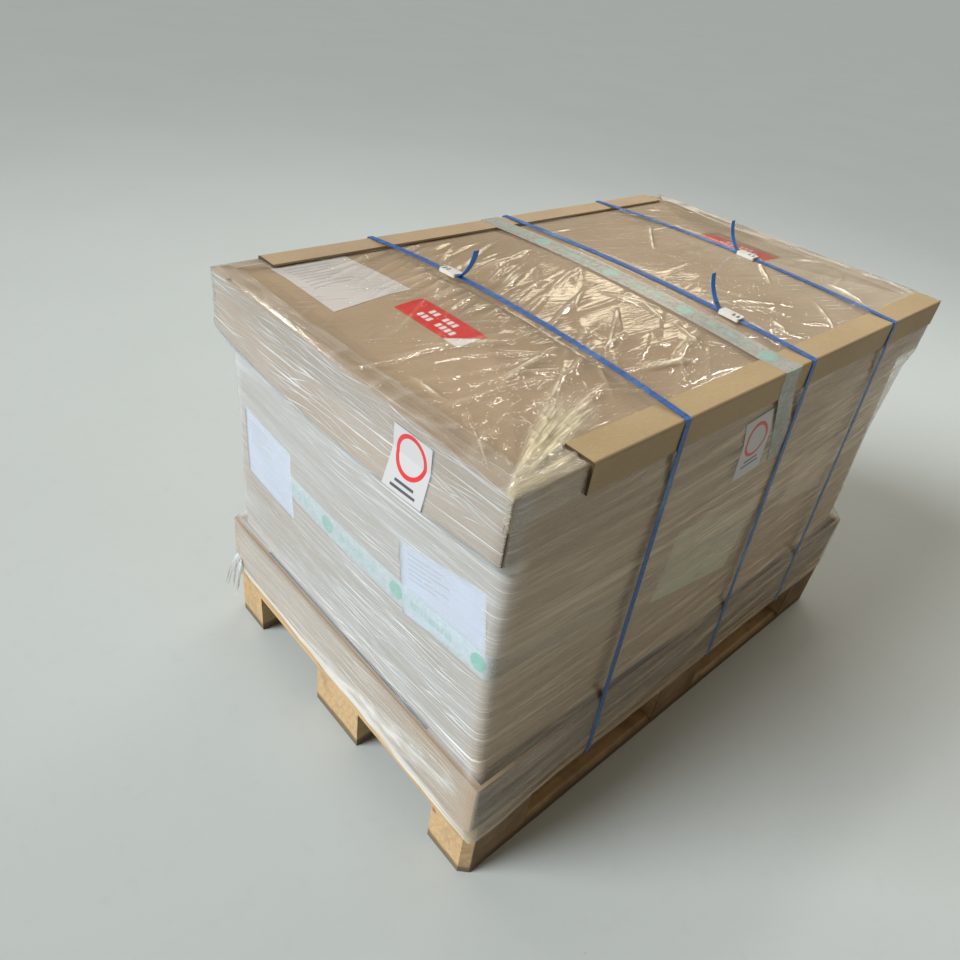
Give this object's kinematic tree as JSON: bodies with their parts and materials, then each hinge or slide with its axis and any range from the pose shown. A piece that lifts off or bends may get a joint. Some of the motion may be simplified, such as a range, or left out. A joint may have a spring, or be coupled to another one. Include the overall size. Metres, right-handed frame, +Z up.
{
  "type": "strapped pallet load",
  "caption": "Shrouded load on a wooden block pallet: corrugated tray, sleeve and lid under stretch film, with edge protectors, buckled straps, tape and plain labels.",
  "frame": {"origin": "middle of the pallet's 1200 by 800 footprint, on the floor", "axes": "+X along the pallet's long side, to the right when the front is faced; the front long side is at -Y; +Z up"},
  "size_m": [1.272, 0.8062, 0.908],
  "materials": {
    "timber": "rough sawn",
    "board": "matte",
    "goods": "matte",
    "film": "clear, creased",
    "protector_board": "laminated board",
    "strapping": "embossed",
    "buckle_plastic": "moulded",
    "tape": "clear with pale printed dashes",
    "white_paper": "matte",
    "red_paper": "semi-gloss",
    "green_paper": "matte"
  },
  "bodies": {
    "root": {"bottom_board_front": "timber", "bottom_board_middle": "timber", "bottom_board_back": "timber", "block_front_left": "timber", "block_front_middle": "timber", "block_front_right": "timber", "block_middle_left": "timber", "block_middle_middle": "timber", "block_middle_right": "timber", "block_back_left": "timber", "block_back_middle": "timber", "block_back_right": "timber", "stringer_left": "timber", "stringer_middle": "timber", "stringer_right": "timber", "deck_board_1": "timber", "deck_board_2": "timber", "deck_board_3": "timber", "deck_board_4": "timber", "deck_board_5": "timber", "tray": "board", "sleeve": "board", "lid": "board", "load_core": "goods", "top_sheet": "film", "film_wrap": "film", "edge_protector_front": "protector_board", "edge_protector_back": "protector_board", "strap_left": "strapping", "strap_middle": "strapping", "strap_right": "strapping", "buckle_left": "buckle_plastic", "buckle_middle": "buckle_plastic", "buckle_right": "buckle_plastic", "tape_top": "tape", "tape_sleeve": "tape", "document": "white_paper", "sticker_left": "red_paper", "sticker_right": "red_paper", "ring_sticker_end": "white_paper", "ring_sticker_front": "white_paper", "sheet_near": "white_paper", "sheet_far": "white_paper", "label_green": "green_paper", "label_white": "white_paper"}
  },
  "joints": []
}
